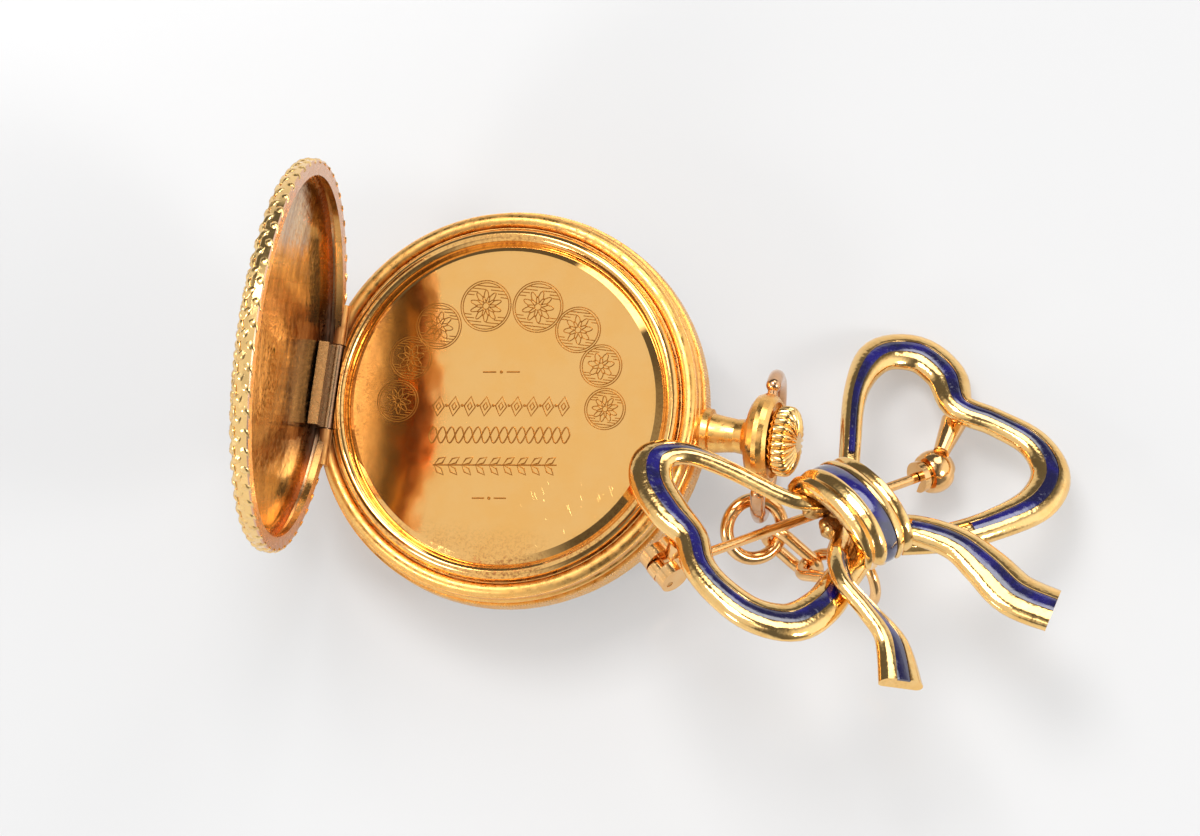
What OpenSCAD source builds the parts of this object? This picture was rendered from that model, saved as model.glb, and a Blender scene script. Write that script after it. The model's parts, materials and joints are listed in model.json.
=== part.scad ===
// Lady's pocket watch with its back cover open, a short chain and a ribbon-bow brooch.
// The watch, the chain and the pieces of the pendant are drawn in the watch's own frame:
// origin in the middle of the case, +X out through the crown, +Y along the cover's hinge,
// +Z out of the back of the watch. The brooch is drawn in the bow's frame: +X from loop
// to loop, +Z out of its front. rest_pose() lays everything on the ground at z = 0.

/* [Watch case] */
// Radius of the case over its milled edge
case_r = 14.5; // [14.4:0.05:14.6]
// Radius of the dust cover inside the case
dust_r = 12.95; // [12.8:0.05:13]
// Radius of the open back cover
cover_r = 14.3; // [14.2:0.05:14.4]
// Rise of the back cover's dome over its rim
cover_rise = 1.7; // [1.6:0.1:2.6]
// Angle at which the back cover stands open
cover_open = 88; // [60:1:90]
// Distance of the cover's hinge from the middle of the case
hinge_x = 13.0; // [12.95:0.05:13.05]
// Diameter of the hinge's knuckles
knuckle_d = 0.84; // [0.8:0.02:0.86]

/* [Pendant] */
// Distance of the bail's pivots from the middle of the case
bail_x = 19.0; // [18.95:0.05:19.05]
// Radius of the pendant's knob
knob_r = 3.35; // [3.2:0.05:3.4]
// Radius of the winding crown
crown_r = 2.6; // [2.4:0.05:2.65]
// Number of flutes round the crown
crown_flutes = 22; // [18:1:26]
// Thickness of the bail's wire
bail_d = 1.1; // [1:0.05:1.1]
// Angle by which the folded bail leans towards the case
bail_lean = 10; // [8:1:11]

/* [Brooch] */
// Thickness of the bow's ribbon
ribbon_t = 1.1; // [1:0.05:1.2]
// Thickness of the brooch pin's stem
stem_d = 0.75; // [0.65:0.05:0.8]
// Middle of the bow in the watch's frame
bow_at = [23.7, -1.83, -0.98]; // [-40:0.01:40]
// Turns from the bow's frame to the watch's
bow_turn = [-10.15, 41.97, 45.73]; // [-180:0.01:180]

/* [Rest] */
// Turns that lay the object on the ground
rest_turn = [2.64, -11.63, 0]; // [-90:0.1:90]
// Shift that brings its footprint's middle to the origin
rest_shift = [-11.154, 1.889, 6.106]; // [-30:0.01:30]

/* [Hidden] */
$fn = 72;

// Small gap that pieces keep from each other
gap = 0.05;
// Running clearance round a turning pin
run = 0.04;

// Heights of the case, along the watch's Z
band_low = -2.1;
band_high = 2.4;
ledge_z = 1.85;
hinge_z = 2.95;
rim_z = 2.85;
knuckle_r = knuckle_d / 2;
hinge_pin_r = 0.2;
hinge_half = 5.9;
lug_y = [-3.25, 2.95];

// Pendant, along the watch's X
crown_z = 19.65;
crown_h = 1.8;
stem_r = 0.5;
bail_r = 5.0;
bail_near = 3.0;
bail_straight = 1.4;
pivot_r = 0.36;

// Points of a shallow dome's profile, from its rim to its middle
function dome_points(r, rim, rise, n) =
    [for (i = [0:n]) let (a = 90 * i / n)
        [r * pow(max(cos(a), 0), 0.83), rim + rise * pow(sin(a), 0.83)]];

// Catmull-Rom curve through the rows of a table
function between(a, b, c, d, t) =
    0.5 * (2 * b + (c - a) * t + (2 * a - 5 * b + 4 * c - d) * t * t
           + (3 * b - a - 3 * c + d) * t * t * t);
function smooth_rows(rows, steps) = let (last = len(rows) - 1)
    [for (i = [0:last - 1]) for (k = [0:steps - 1])
        between(rows[max(i - 1, 0)], rows[i], rows[i + 1], rows[min(i + 2, last)], k / steps),
     rows[last]];
function place_of(row) = [row[0], row[1], row[2]];
function unit(v) = v / norm(v);

// Loops and tails: x, y, z of the ribbon's middle, its width, and how far its face leans
right_loop_rows = [
    [0.66, -1.66, -0.16, 1.6, 0],
    [3.0, 0.9, 0.1, 1.6, 0],
    [7.1, 4.9, 0.2, 1.8, 0],
    [11.0, 6.8, 0.1, 2.8, 0],
    [13.9, 5.6, 0, 3.4, 0],
    [14.4, 2.9, 0, 3.3, 0],
    [13.2, 0.1, 0, 2.6, 0],
    [14.6, -2.4, 0, 2.4, 0],
    [15.8, -5.5, 0, 2.7, 0],
    [14.9, -8.4, 0, 3.0, 0],
    [12.0, -10.0, 0, 3.0, 0],
    [8.0, -9.9, -0.2, 2.6, 0],
    [4.4, -8.96, -0.64, 2.4, 0],
    [0.94, -7.36, -0.86, 2.2, 0]];
left_loop_rows = [
    [-1.64, -2.3, -0.14, 1.6, -40],
    [-4.34, -0.94, -0.02, 1.6, -42],
    [-6.8, 3.6, 0.2, 1.7, -34],
    [-8.6, 6.5, 0.2, 2.2, -18],
    [-10.7, 7.3, 0.1, 3.0, -4],
    [-12.5, 5.7, 0, 3.4, 0],
    [-13.3, 2.9, 0, 3.4, 0],
    [-13.5, 0.2, 0, 2.7, 0],
    [-14.8, -2.2, 0, 2.6, 0],
    [-15.1, -4.8, 0, 2.8, 0],
    [-14.4, -7.9, 0, 3.2, 0],
    [-12.2, -9.9, 0, 3.4, 0],
    [-9.0, -9.7, 0, 3.0, 0],
    [-5.64, -8.16, -0.46, 2.6, 0],
    [-1.76, -6.66, -0.74, 2.2, 0]];
right_tail_rows = [
    [0.28, -5.66, -0.44, 2.2, 0],
    [2.04, -7.82, 0.22, 2.7, 0],
    [3.6, -10.3, 0.4, 3.2, 0],
    [4.3, -13.0, 0.1, 4.0, 0],
    [4.7, -15.9, -0.2, 4.4, 0],
    [6.2, -18.5, -0.2, 4.2, 0]];
left_tail_rows = [
    [-2.6, -4.96, -0.44, 1.6, 15],
    [-5.5, -7, 0.66, 1.7, 28],
    [-7.1, -9.4, 0.9, 1.9, 40],
    [-7.0, -12.2, 0.5, 2.2, 31],
    [-6.9, -15.0, -0.1, 2.9, 18],
    [-8.7, -18.2, -0.5, 3.5, 8]];
loop_steps = 3;

// Knot: oval barrel round the bow's X, with three ridges, narrower at the back
knot_at = [-1.3, -4.0, 0];
knot_half_y = 4.12;
knot_half_z = 2.39;
// Lumps of solder inside the knot: place, then half sizes
knot_solder = [[-2.48, -1.9, -0.3, 1.5, 1, 0.8], [-2.84, -4.06, -0.62, 1, 1.2, 0.6],
               [-0.96, -3.26, -0.46, 1.6, 1.3, 0.8]];
eye_at = [-0.27, -5.38, -3.54];
eye_turn = -66.3;

// Brooch pin and its catch, in the bow's frame
pin_from = [-15.3, 0.6, -3.0];
pin_to = [9.8, -2.1, -3.0];
pin_turn = atan2(pin_to[1] - pin_from[1], pin_to[0] - pin_from[0]);
pin_reach = norm(pin_to - pin_from);

// Section of the ribbon as [share of its width, share of its thickness]
channel = 0.19;
ribbon_section = [[-0.5, 0], [-0.4, -0.3], [0.4, -0.3], [0.5, 0], [0.46, 0.32], [0.32, 0.62],
                  [channel + 0.02, 0.7], [channel, 0.48], [-channel, 0.48],
                  [-channel - 0.02, 0.7], [-0.32, 0.62], [-0.46, 0.32]];
enamel_section = [[-channel + 0.03, 0.54], [channel - 0.03, 0.54],
                  [channel - 0.03, 0.65], [-channel + 0.03, 0.65]];

// Section of the knot's band as [along the barrel, out from its oval]
knot_section = [[-2.3, -0.9], [2.3, -0.9], [2.5, -0.3], [2.4, 0.2], [2.0, 0.4], [1.6, 0.2],
                [1.4, 0.35], [0.95, 0.55], [0.7, 0.5], [0.66, 0.28], [-0.46, 0.28],
                [-0.5, 0.5], [-0.75, 0.55], [-1.15, 0.3], [-1.4, 0.2], [-1.9, 0.45],
                [-2.35, 0.25], [-2.55, -0.3]];
knot_enamel_section = [[-0.42, 0.31], [0.62, 0.31], [0.62, 0.44], [-0.42, 0.44]];

module rest_pose() {
    translate(rest_shift) rotate(rest_turn) children();
}

module bow_to_watch() {
    translate(bow_at) rotate(bow_turn) children();
}

// Turns a shape made along Z so that it runs along X
module along_x() {
    rotate([0, 90, 0]) children();
}

// Turns a shape made along Z so that it runs along Y
module along_y() {
    rotate([-90, 0, 0]) children();
}

// Carries a piece from the closed back to where the cover stands open
module opened() {
    translate([-hinge_x, 0, hinge_z]) rotate([0, -cover_open, 0])
        translate([hinge_x, 0, -hinge_z]) children();
}

// Rounds of a closed or open sweep, joined into one solid
module skin(rings, closed = false) {
    n = len(rings[0]);
    m = len(rings);
    last = closed ? m - 1 : m - 2;
    sides = [for (i = [0:last]) for (j = [0:n - 1])
        let (a = i * n + j, b = i * n + (j + 1) % n,
             c = ((i + 1) % m) * n + (j + 1) % n, d = ((i + 1) % m) * n + j)
        each [[a, b, c], [a, c, d]]];
    caps = closed ? [] : [[for (j = [n - 1:-1:0]) j], [for (j = [0:n - 1]) (m - 1) * n + j]];
    polyhedron([for (r = rings) each r], concat(sides, caps));
}

// Ribbon of a changing width that follows the rows of a table, less some rings at each end
module ribbon(rows, section, skip_start = 0, skip_end = 0) {
    path = smooth_rows(rows, loop_steps);
    last = len(path) - 1;
    rings = [for (i = [skip_start:last - skip_end])
        let (row = path[i],
             dir = unit(place_of(path[min(i + 1, last)]) - place_of(path[max(i - 1, 0)])),
             flat_side = unit(cross(dir, [0, 0, 1])), flat_up = cross(flat_side, dir),
             side = flat_side * cos(row[4]) + flat_up * sin(row[4]),
             up = flat_up * cos(row[4]) - flat_side * sin(row[4]))
        [for (q = section) place_of(row) + side * q[0] * row[3] + up * q[1] * ribbon_t]];
    skin(rings);
}

// Share of its width that the knot's band keeps at an angle: it is narrow behind
function knot_width(a) = let (t = min(1, max(0, -1.5 * sin(a) - 0.1)))
    1 - 0.52 * t * t * (3 - 2 * t);

// Band round the knot's oval from one angle to another, closed when it goes all round
module knot_band(section, from, to, rounds) {
    closed = to - from >= 360;
    rings = [for (i = [0:closed ? rounds - 1 : rounds])
        let (a = to - (to - from) * i / rounds)
        [for (q = section) knot_at + [2.5 - (2.5 - q[0]) * knot_width(a),
                                      (knot_half_y + q[1]) * cos(a),
                                      (knot_half_z + q[1]) * sin(a)]]];
    skin(rings, closed);
}

// Rounded lump given by its place and half sizes
module lump_of_solder(lump) {
    skin([for (i = [0:6])
        let (a = -75 + 25 * i)
        [for (j = [0:9])
            [lump[0] + lump[3] * sin(a), lump[1] + lump[4] * cos(a) * cos(36 * j),
             lump[2] - lump[5] * cos(a) * sin(36 * j)]]]);
}

module case_band_profile() {
    translate([12.3, band_low]) square([14.2 - 12.3, ledge_z - band_low]);
    translate([13.05, ledge_z - 0.1]) square([14.2 - 13.05, band_high - ledge_z + 0.1]);
    translate([13.63, 2.2]) circle(r = 0.57, $fn = 32);
    translate([14.05, 1.3]) circle(r = 0.3, $fn = 24);
    translate([14.05, -1.3]) circle(r = 0.3, $fn = 24);
    translate([13.9, -0.85]) square([case_r - 13.9, 1.7]);
}

module pendant_profile() {
    polygon([[0, 12.9], [1.3, 12.9], [1.3, 14.1], [1.75, 14.2], [1.8, 14.45], [1.75, 14.9],
             [1.45, 15.0], [1.32, 15.9], [1.22, 16.8], [1.3, 17.4], [1.7, 17.8],
             [2.7, 18.0], [3.15, 18.3], [knob_r, 18.75], [knob_r, 19.1], [3.2, 19.5],
             [2.95, 19.75], [2.78, 19.72], [2.72, 19.4], [0, 19.4]]);
}

module case_hinge_webs() {
    for (y = [[-hinge_half, lug_y[0] - gap], [lug_y[1] + gap, hinge_half]]) {
        translate([-12.8, y[0], 1.3]) cube([0.26, y[1] - y[0], 1.5]);
        translate([-hinge_x, y[0], hinge_z]) along_y() cylinder(r = knuckle_r, h = y[1] - y[0]);
    }
}

module case_middle() {
    color("goldenrod") rest_pose() difference() {
        union() {
            difference() {
                rotate_extrude() case_band_profile();
                translate([-case_r - 1, -6.1, 1.35]) cube([case_r + 1 - 12.8, 12.2, 3]);
                translate([-hinge_x, -hinge_half - 0.1, hinge_z]) along_y()
                    cylinder(r = knuckle_r + 0.1, h = 2 * hinge_half + 0.2);
            }
            case_hinge_webs();
            along_x() rotate_extrude() pendant_profile();
        }
        translate([-hinge_x, -hinge_half - 1, hinge_z]) along_y()
            cylinder(r = hinge_pin_r + 0.01, h = 2 * hinge_half + 2);
        translate([17.3, 0, 0]) along_x() cylinder(r = stem_r + run, h = 3);
        for (side = [-1, 1])
            translate([bail_x, side < 0 ? -4 : 2.6, 0]) along_y()
                cylinder(r = pivot_r + run, h = 1.4);
    }
}

module front_bezel() {
    color("goldenrod") rest_pose() rotate_extrude() difference() {
        union() {
            translate([12.75, -3.0]) square([1.2, 0.85]);
            translate([13.4, -2.75]) circle(r = 0.65, $fn = 32);
        }
        translate([12, band_low - gap]) square([3, 1]);
    }
}

module crystal() {
    edge = 12.7;
    rise = 1.3;
    ball_r = (edge * edge + rise * rise) / (2 * rise);
    outer = [for (i = [0:8]) let (r = edge * (1 - i / 8))
        [r, -2.8 - rise + ball_r - sqrt(ball_r * ball_r - r * r)]];
    color("lightcyan") rest_pose() rotate_extrude()
        polygon(concat(outer, [for (i = [8:-1:0]) outer[i] + [0, 0.5]]));
}

module dial() {
    color("ivory") rest_pose() translate([0, 0, -1.98]) difference() {
        cylinder(r = 12.2, h = 0.25);
        translate([0, 0, -1]) cylinder(r = 0.35, h = 3, $fn = 24);
    }
}

module hand(length, width, z) {
    translate([0, 0, z]) linear_extrude(0.12)
        polygon([[-0.3, -1], [-width, 0], [-width * 0.4, length * 0.6], [0, length],
                 [width * 0.4, length * 0.6], [width, 0], [0.3, -1]]);
}

module hour_hand() {
    color("midnightblue") rest_pose() rotate([0, 0, 25]) hand(6, 0.4, -2.3);
}

module minute_hand() {
    color("midnightblue") rest_pose() rotate([0, 0, -80]) hand(9, 0.35, -2.5);
}

module movement() {
    color("silver") rest_pose() {
        translate([0, 0, -1.68]) cylinder(r = 12.2, h = 3.45);
        translate([0, 0, -2.13]) cylinder(r = 0.22, h = 1, $fn = 24);
    }
}

module dust_cover() {
    color("gold") rest_pose() difference() {
        rotate_extrude() union() {
            polygon([[0, 2.4], [12.5, 2.4], [12.5, 2.7], [11.95, 2.65], [11.3, 2.98],
                     [0, 3.0]]);
            translate([dust_r - 0.5, 2.72]) circle(r = 0.5, $fn = 32);
        }
        translate([-20, -hinge_half - 0.2, 0]) cube([20 - 12.48, 2 * hinge_half + 0.4, 5]);
    }
}

// The cover as it would lie closed, before it is opened
module closed_cover() {
    flange_r = cover_r - 1.1;
    outer = dome_points(cover_r, rim_z + 0.65, cover_rise, 14);
    inner = dome_points(cover_r - 0.65, rim_z + 0.6, cover_rise - 0.5, 12);
    difference() {
        union() {
            difference() {
                rotate_extrude() polygon(concat(
                    [[flange_r, rim_z + 0.45], [flange_r, rim_z], [cover_r - 0.1, rim_z],
                     [cover_r, rim_z + 0.1]],
                    outer, [for (i = [12:-1:0]) inner[i]], [[cover_r - 0.65, rim_z + 0.5]]));
                translate([-hinge_x, -hinge_half - 0.1, hinge_z]) along_y()
                    cylinder(r = knuckle_r + 0.1, h = 2 * hinge_half + 0.2);
            }
            translate([-hinge_x - 0.35, lug_y[0] + gap, rim_z + 0.45])
                cube([1.95, lug_y[1] - lug_y[0] - 2 * gap, 0.75]);
            translate([-hinge_x - 0.35, lug_y[0] + gap, rim_z + 0.05])
                cube([0.75, lug_y[1] - lug_y[0] - 2 * gap, 0.6]);
            translate([-hinge_x, lug_y[0] + gap, hinge_z]) along_y()
                cylinder(r = knuckle_r, h = lug_y[1] - lug_y[0] - 2 * gap);
        }
        translate([-hinge_x, lug_y[0] - 0.5, hinge_z]) along_y()
            cylinder(r = hinge_pin_r + run, h = lug_y[1] - lug_y[0] + 1);
    }
}

module back_cover() {
    color("darkgoldenrod") rest_pose() opened() closed_cover();
}

// Thin enamelled panel let on to the middle of the dome
module cover_enamel() {
    outer = [for (p = dome_points(cover_r, rim_z + 0.65, cover_rise, 14))
        if (p[0] < 9.8) p + [0, gap]];
    color("mediumblue") rest_pose() opened() rotate_extrude()
        polygon(concat(outer, [for (i = [len(outer) - 1:-1:0]) outer[i] + [0, 0.15]]));
}

module hinge_pin() {
    color("darkgoldenrod") rest_pose() translate([-hinge_x, -hinge_half + 0.1, hinge_z])
        along_y() cylinder(r = hinge_pin_r, h = 2 * hinge_half - 0.2);
}

module crown() {
    flute = 0.16;
    color("goldenrod") rest_pose() along_x() {
        translate([0, 0, crown_z]) intersection() {
            linear_extrude(crown_h + 0.1) polygon([for (i = [0:4 * crown_flutes - 1])
                let (r = crown_r - flute * (1 - abs(i % 4 - 2) / 2))
                r * [cos(90 * i / crown_flutes), sin(90 * i / crown_flutes)]]);
            rotate_extrude() polygon([[0, 0], [crown_r - 0.4, 0], [crown_r, 0.4],
                [crown_r, crown_h - 0.5], [crown_r - 0.35, crown_h - 0.1],
                [crown_r - 1.1, crown_h], [0, crown_h + 0.05]]);
        }
        translate([0, 0, 17.6]) cylinder(r = stem_r, h = crown_z - 17.6 + 0.2, $fn = 32);
    }
}

// Half of the bail's front end, from the straight stretch to its pivot
module bail_end() {
    reach = acos(bail_near / bail_r);
    translate([bail_near, 0, 0]) rotate([0, 0, 90]) rotate_extrude(angle = 90 - reach)
        translate([bail_r, 0]) circle(r = bail_d / 2, $fn = 24);
    translate([bail_near, bail_r, 0]) along_x() cylinder(r = bail_d / 2, h = bail_straight);
    translate([0, sqrt(bail_r * bail_r - bail_near * bail_near), 0])
        sphere(r = bail_d / 2, $fn = 24);
    translate([0, 2.7, 0]) along_y() cylinder(r = pivot_r, h = 1.4, $fn = 24);
}

module bail() {
    color("rosybrown") rest_pose() translate([bail_x, 0, 0]) rotate([0, 90 + bail_lean, 0]) {
        bail_end();
        mirror([0, 1, 0]) bail_end();
        translate([bail_near + bail_straight, 0, 0]) rotate([0, 0, -90])
            rotate_extrude(angle = 180) translate([bail_r, 0])
            circle(r = bail_d / 2, $fn = 24);
    }
}

// Link lying along X round the origin: straight is the stretch between its round ends
module link(bend_r, wire_r, straight) {
    for (side = [0, 180]) rotate([0, 0, side]) {
        translate([straight / 2, 0, 0]) rotate([0, 0, -90]) rotate_extrude(angle = 180)
            translate([bend_r, 0]) circle(r = wire_r, $fn = 24);
        if (straight > 0) translate([-straight / 2, bend_r, 0]) along_x()
            cylinder(r = wire_r, h = straight, $fn = 24);
    }
}

// Puts a link at a place, its length along one direction and its flat across another
module aimed(place, along, flat) {
    x = unit(along);
    z = unit(cross(x, cross(flat, x)));
    y = cross(z, x);
    multmatrix([[x[0], y[0], z[0], place[0]], [x[1], y[1], z[1], place[1]],
                [x[2], y[2], z[2], place[2]], [0, 0, 0, 1]]) children();
}

module link_1() {
    color("gold") rest_pose() aimed([17.82, -5.9, -5.19], [0.79, 0.03, -0.62],
                                    [0.61, -0.22, 0.76]) link(2.18, 0.5, 0);
}

module link_2() {
    color("gold") rest_pose() aimed([20.35, -6.99, -7.15], [0.7, -0.48, -0.54],
                                    [-0.28, -0.87, 0.4]) link(1.25, 0.45, 2.23);
}

module link_3() {
    color("gold") rest_pose() aimed([23.37, -7.85, -6.37], [0.8, -0.08, 0.59],
                                    [0.4, -0.66, -0.64]) link(1.25, 0.45, 2.65);
}

module link_4() {
    color("gold") rest_pose() aimed([26.3, -8.65, -4.21], [0.76, -0.32, 0.56],
                                    [0.63, 0.55, -0.54]) link(2.12, 0.4, 0);
}

// Two knuckles on feet that carry the brooch's pin on the back of the left loop
module pin_hinge() {
    color("goldenrod") rest_pose() bow_to_watch() translate(pin_from)
        rotate([0, 0, pin_turn]) difference() {
            union() {
                for (y = [-1.45, 0.55]) translate([0.4, y, 0.3]) along_y()
                    cylinder(r = 1.15, h = 0.9, $fn = 36);
                translate([1.05, -1.4, 1.35]) along_y() cylinder(r = 0.5, h = 2.8, $fn = 24);
                translate([1.25, 0, 1.2]) cylinder(r = 0.85, h = 1.4, $fn = 32);
            }
            translate([0, -2, 0]) along_y() cylinder(r = 0.26, h = 4, $fn = 24);
        }
}

// Round housing of the catch, open towards the back, on a strut from the right loop
module catch_housing() {
    color("goldenrod") rest_pose() bow_to_watch() translate(pin_to)
        rotate([0, 0, pin_turn]) difference() {
            union() {
                sphere(r = 1.6, $fn = 48);
                rotate([0, 0, 38]) translate([0.7, 0, 1.35]) rotate([0, 84, 0])
                    cylinder(r1 = 0.6, r2 = 0.95, h = 3.1, $fn = 32);
            }
            translate([-3, 0, 0]) along_x() cylinder(r = 0.98, h = 6);
            translate([-3, -0.5, -3]) cube([6, 1.0, 3]);
            translate([-3, -3, -3]) cube([2.2, 6, 6]);
            translate([0.8, -3, -3]) cube([3, 6, 3.7]);
        }
}

// Eye on the back of the knot that holds the chain's last link
module chain_eye() {
    translate(eye_at) rotate([0, 0, eye_turn]) along_x() rotate_extrude($fn = 20)
        translate([1.1, 0]) circle(r = 0.35, $fn = 8);
}

// The ribbons cross each other, so they are joined as one faceted skin: resize keeps their size
module bow_frame() {
    color("gold") rest_pose() bow_to_watch() resize([0, 0, 0]) {
        ribbon(right_loop_rows, ribbon_section);
        ribbon(left_loop_rows, ribbon_section);
        ribbon(right_tail_rows, ribbon_section);
        ribbon(left_tail_rows, ribbon_section);
        knot_band(knot_section, 0, 360, 32);
        for (lump = knot_solder) lump_of_solder(lump);
        chain_eye();
    }
}

module left_loop_enamel() {
    color("mediumblue") rest_pose() bow_to_watch()
        ribbon(left_loop_rows, enamel_section, 4, 5);
}

module right_loop_enamel() {
    color("mediumblue") rest_pose() bow_to_watch()
        ribbon(right_loop_rows, enamel_section, 3, 5);
}

module left_tail_enamel() {
    color("mediumblue") rest_pose() bow_to_watch()
        ribbon(left_tail_rows, enamel_section, 4);
}

module right_tail_enamel() {
    color("mediumblue") rest_pose() bow_to_watch()
        ribbon(right_tail_rows, enamel_section, 3);
}

module knot_enamel() {
    color("mediumblue") rest_pose() bow_to_watch()
        knot_band(knot_enamel_section, -20, 200, 24);
}

module pin_rivet() {
    color("darkgoldenrod") rest_pose() bow_to_watch() translate(pin_from)
        rotate([0, 0, pin_turn]) translate([0, -1.4, 0]) along_y()
        cylinder(r = 0.25, h = 2.8, $fn = 24);
}

module pin_stem() {
    color("gold") rest_pose() bow_to_watch() translate(pin_from) rotate([0, 0, pin_turn])
        difference() {
            union() {
                translate([0, -0.45, 0]) along_y() cylinder(r = 0.7, h = 0.9, $fn = 32);
                along_x() cylinder(r = stem_d / 2, h = pin_reach - 1.2, $fn = 24);
                translate([pin_reach - 1.2, 0, 0]) along_x()
                    cylinder(r1 = stem_d / 2, r2 = 0.12, h = 2.4, $fn = 24);
            }
            translate([0, -2, 0]) along_y() cylinder(r = 0.25 + run, h = 4, $fn = 24);
        }
}

module catch_roller() {
    color("gold") rest_pose() bow_to_watch() translate(pin_to) rotate([0, 0, pin_turn])
        difference() {
            union() {
                translate([-1.15, 0, 0]) along_x() cylinder(r = 0.93, h = 2.3, $fn = 32);
                translate([-1.6, 0, 0]) along_x() cylinder(r = 1.15, h = 0.5, $fn = 32);
            }
            translate([-3, 0, 0]) along_x() cylinder(r = 0.5, h = 6, $fn = 32);
            translate([-3, -0.45, -3]) cube([6, 0.9, 3]);
        }
}

case_middle();
front_bezel();
crystal();
dial();
hour_hand();
minute_hand();
movement();
dust_cover();
back_cover();
cover_enamel();
hinge_pin();
crown();
bail();
link_1();
link_2();
link_3();
link_4();
bow_frame();
left_loop_enamel();
right_loop_enamel();
left_tail_enamel();
right_tail_enamel();
knot_enamel();
pin_hinge();
pin_rivet();
pin_stem();
catch_housing();
catch_roller();
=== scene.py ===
"""Finish of a small gold watch with its back cover open, a short chain and a bow brooch."""

import json
import math

import bmesh
import bpy
from mathutils import Matrix, Vector


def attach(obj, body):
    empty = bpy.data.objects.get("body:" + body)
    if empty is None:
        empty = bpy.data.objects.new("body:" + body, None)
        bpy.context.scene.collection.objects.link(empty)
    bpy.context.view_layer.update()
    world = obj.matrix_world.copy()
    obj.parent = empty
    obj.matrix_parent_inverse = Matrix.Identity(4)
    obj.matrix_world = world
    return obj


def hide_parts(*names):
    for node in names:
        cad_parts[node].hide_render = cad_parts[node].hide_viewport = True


bl_info = {
    "name": "Small watch on a bow brooch",
    "version": (1, 0, 0),
    "blender": (4, 5, 0),
    "location": "View3D > Sidebar > Watch",
    "description": "Models the finish of a small gold watch, its chain and its bow brooch",
    "category": "Add Mesh",
}

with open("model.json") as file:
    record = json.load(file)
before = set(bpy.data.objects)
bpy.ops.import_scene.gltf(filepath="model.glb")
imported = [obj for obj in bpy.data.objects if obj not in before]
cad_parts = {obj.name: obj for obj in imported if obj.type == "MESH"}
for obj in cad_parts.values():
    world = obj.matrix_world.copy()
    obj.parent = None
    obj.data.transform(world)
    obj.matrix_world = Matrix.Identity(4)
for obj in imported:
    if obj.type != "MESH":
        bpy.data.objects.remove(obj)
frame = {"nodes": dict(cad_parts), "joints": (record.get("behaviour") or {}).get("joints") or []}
NODES = frame["nodes"]
MM = 0.001

# Sizes and turns that the pieces share with the solids, with lengths in millimetres
HINGE_X = 13.0
HINGE_Z = 2.95
RIM_Z = 2.85
COVER_R = 14.3
COVER_RISE = 1.7
COVER_WALL = 0.65
COVER_CURVE = 0.83
COVER_OPEN = math.radians(88)
DUST_COVER_Z = 3.0
RIBBON_T = 1.1
KNOT_AT = (-1.3, -4.0, 0.0)
KNOT_HALF = (4.12, 2.39)
KNOT_SIDE = 2.5
EYE_AT = (-0.27, -5.38, -3.54)
EYE_TURN = -66.3
EYE_R = 1.1
EYE_WIRE_R = 0.35
PIN_FROM = (-15.3, 0.6, -3.0)
PIN_TO = (9.8, -2.1, -3.0)

# Half the width of the enamelled channel as a share of the ribbon's width
CHANNEL = 0.15

# Milling round the case's edge and beads round the enamelled panel, in millimetres
MILLING_R = 14.44
RIB_R = 0.1
RIB_BEVEL = 0.04
BEAD_REACH = 9.98
BEAD_R = 0.17
BEAD_COUNT = 150

# Chased leaves: half their width and height, how far they lean and sink, and their rows
LEAF_HALF = (0.36, 0.32)
LEAF_LEAN = math.radians(32)
LEAF_SINK = 0.03
WALL_ROWS = [(14.16, RIM_Z + 0.36, math.radians(90)), (14.12, RIM_Z + 0.9, 1.3)]
DOME_ROWS = (13.75, 13.0, 12.1, 11.0)

# Loops and tails: x, y, z of the ribbon's middle, its width, and how far its face leans
RIGHT_LOOP = [
    (0.66, -1.66, -0.16, 1.6, 0), (3.0, 0.9, 0.1, 1.6, 0), (7.1, 4.9, 0.2, 1.8, 0),
    (11.0, 6.8, 0.1, 2.8, 0), (13.9, 5.6, 0, 3.4, 0), (14.4, 2.9, 0, 3.3, 0),
    (13.2, 0.1, 0, 2.6, 0), (14.6, -2.4, 0, 2.4, 0), (15.8, -5.5, 0, 2.7, 0),
    (14.9, -8.4, 0, 3.0, 0), (12.0, -10.0, 0, 3.0, 0), (8.0, -9.9, -0.2, 2.6, 0),
    (4.4, -8.96, -0.64, 2.4, 0), (0.94, -7.36, -0.86, 2.2, 0)]
LEFT_LOOP = [
    (-1.64, -2.3, -0.14, 1.6, -40), (-4.34, -0.94, -0.02, 1.6, -42), (-6.8, 3.6, 0.2, 1.7, -34),
    (-8.6, 6.5, 0.2, 2.2, -18), (-10.7, 7.3, 0.1, 3.0, -4), (-12.5, 5.7, 0, 3.4, 0),
    (-13.3, 2.9, 0, 3.4, 0), (-13.5, 0.2, 0, 2.7, 0), (-14.8, -2.2, 0, 2.6, 0),
    (-15.1, -4.8, 0, 2.8, 0), (-14.4, -7.9, 0, 3.2, 0), (-12.2, -9.9, 0, 3.4, 0),
    (-9.0, -9.7, 0, 3.0, 0), (-5.64, -8.16, -0.46, 2.6, 0), (-1.76, -6.66, -0.74, 2.2, 0)]
RIGHT_TAIL = [
    (0.28, -5.66, -0.44, 2.2, 0), (2.04, -7.82, 0.22, 2.7, 0), (3.6, -10.3, 0.4, 3.2, 0),
    (4.3, -13.0, 0.1, 4.0, 0), (4.7, -15.9, -0.2, 4.4, 0), (6.2, -18.5, -0.2, 4.2, 0)]
LEFT_TAIL = [
    (-2.6, -4.96, -0.44, 1.6, 15), (-5.5, -7, 0.66, 1.7, 28), (-7.1, -9.4, 0.9, 1.9, 40),
    (-7.0, -12.2, 0.5, 2.2, 31), (-6.9, -15.0, -0.1, 2.9, 18), (-8.7, -18.2, -0.5, 3.5, 8)]

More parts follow.
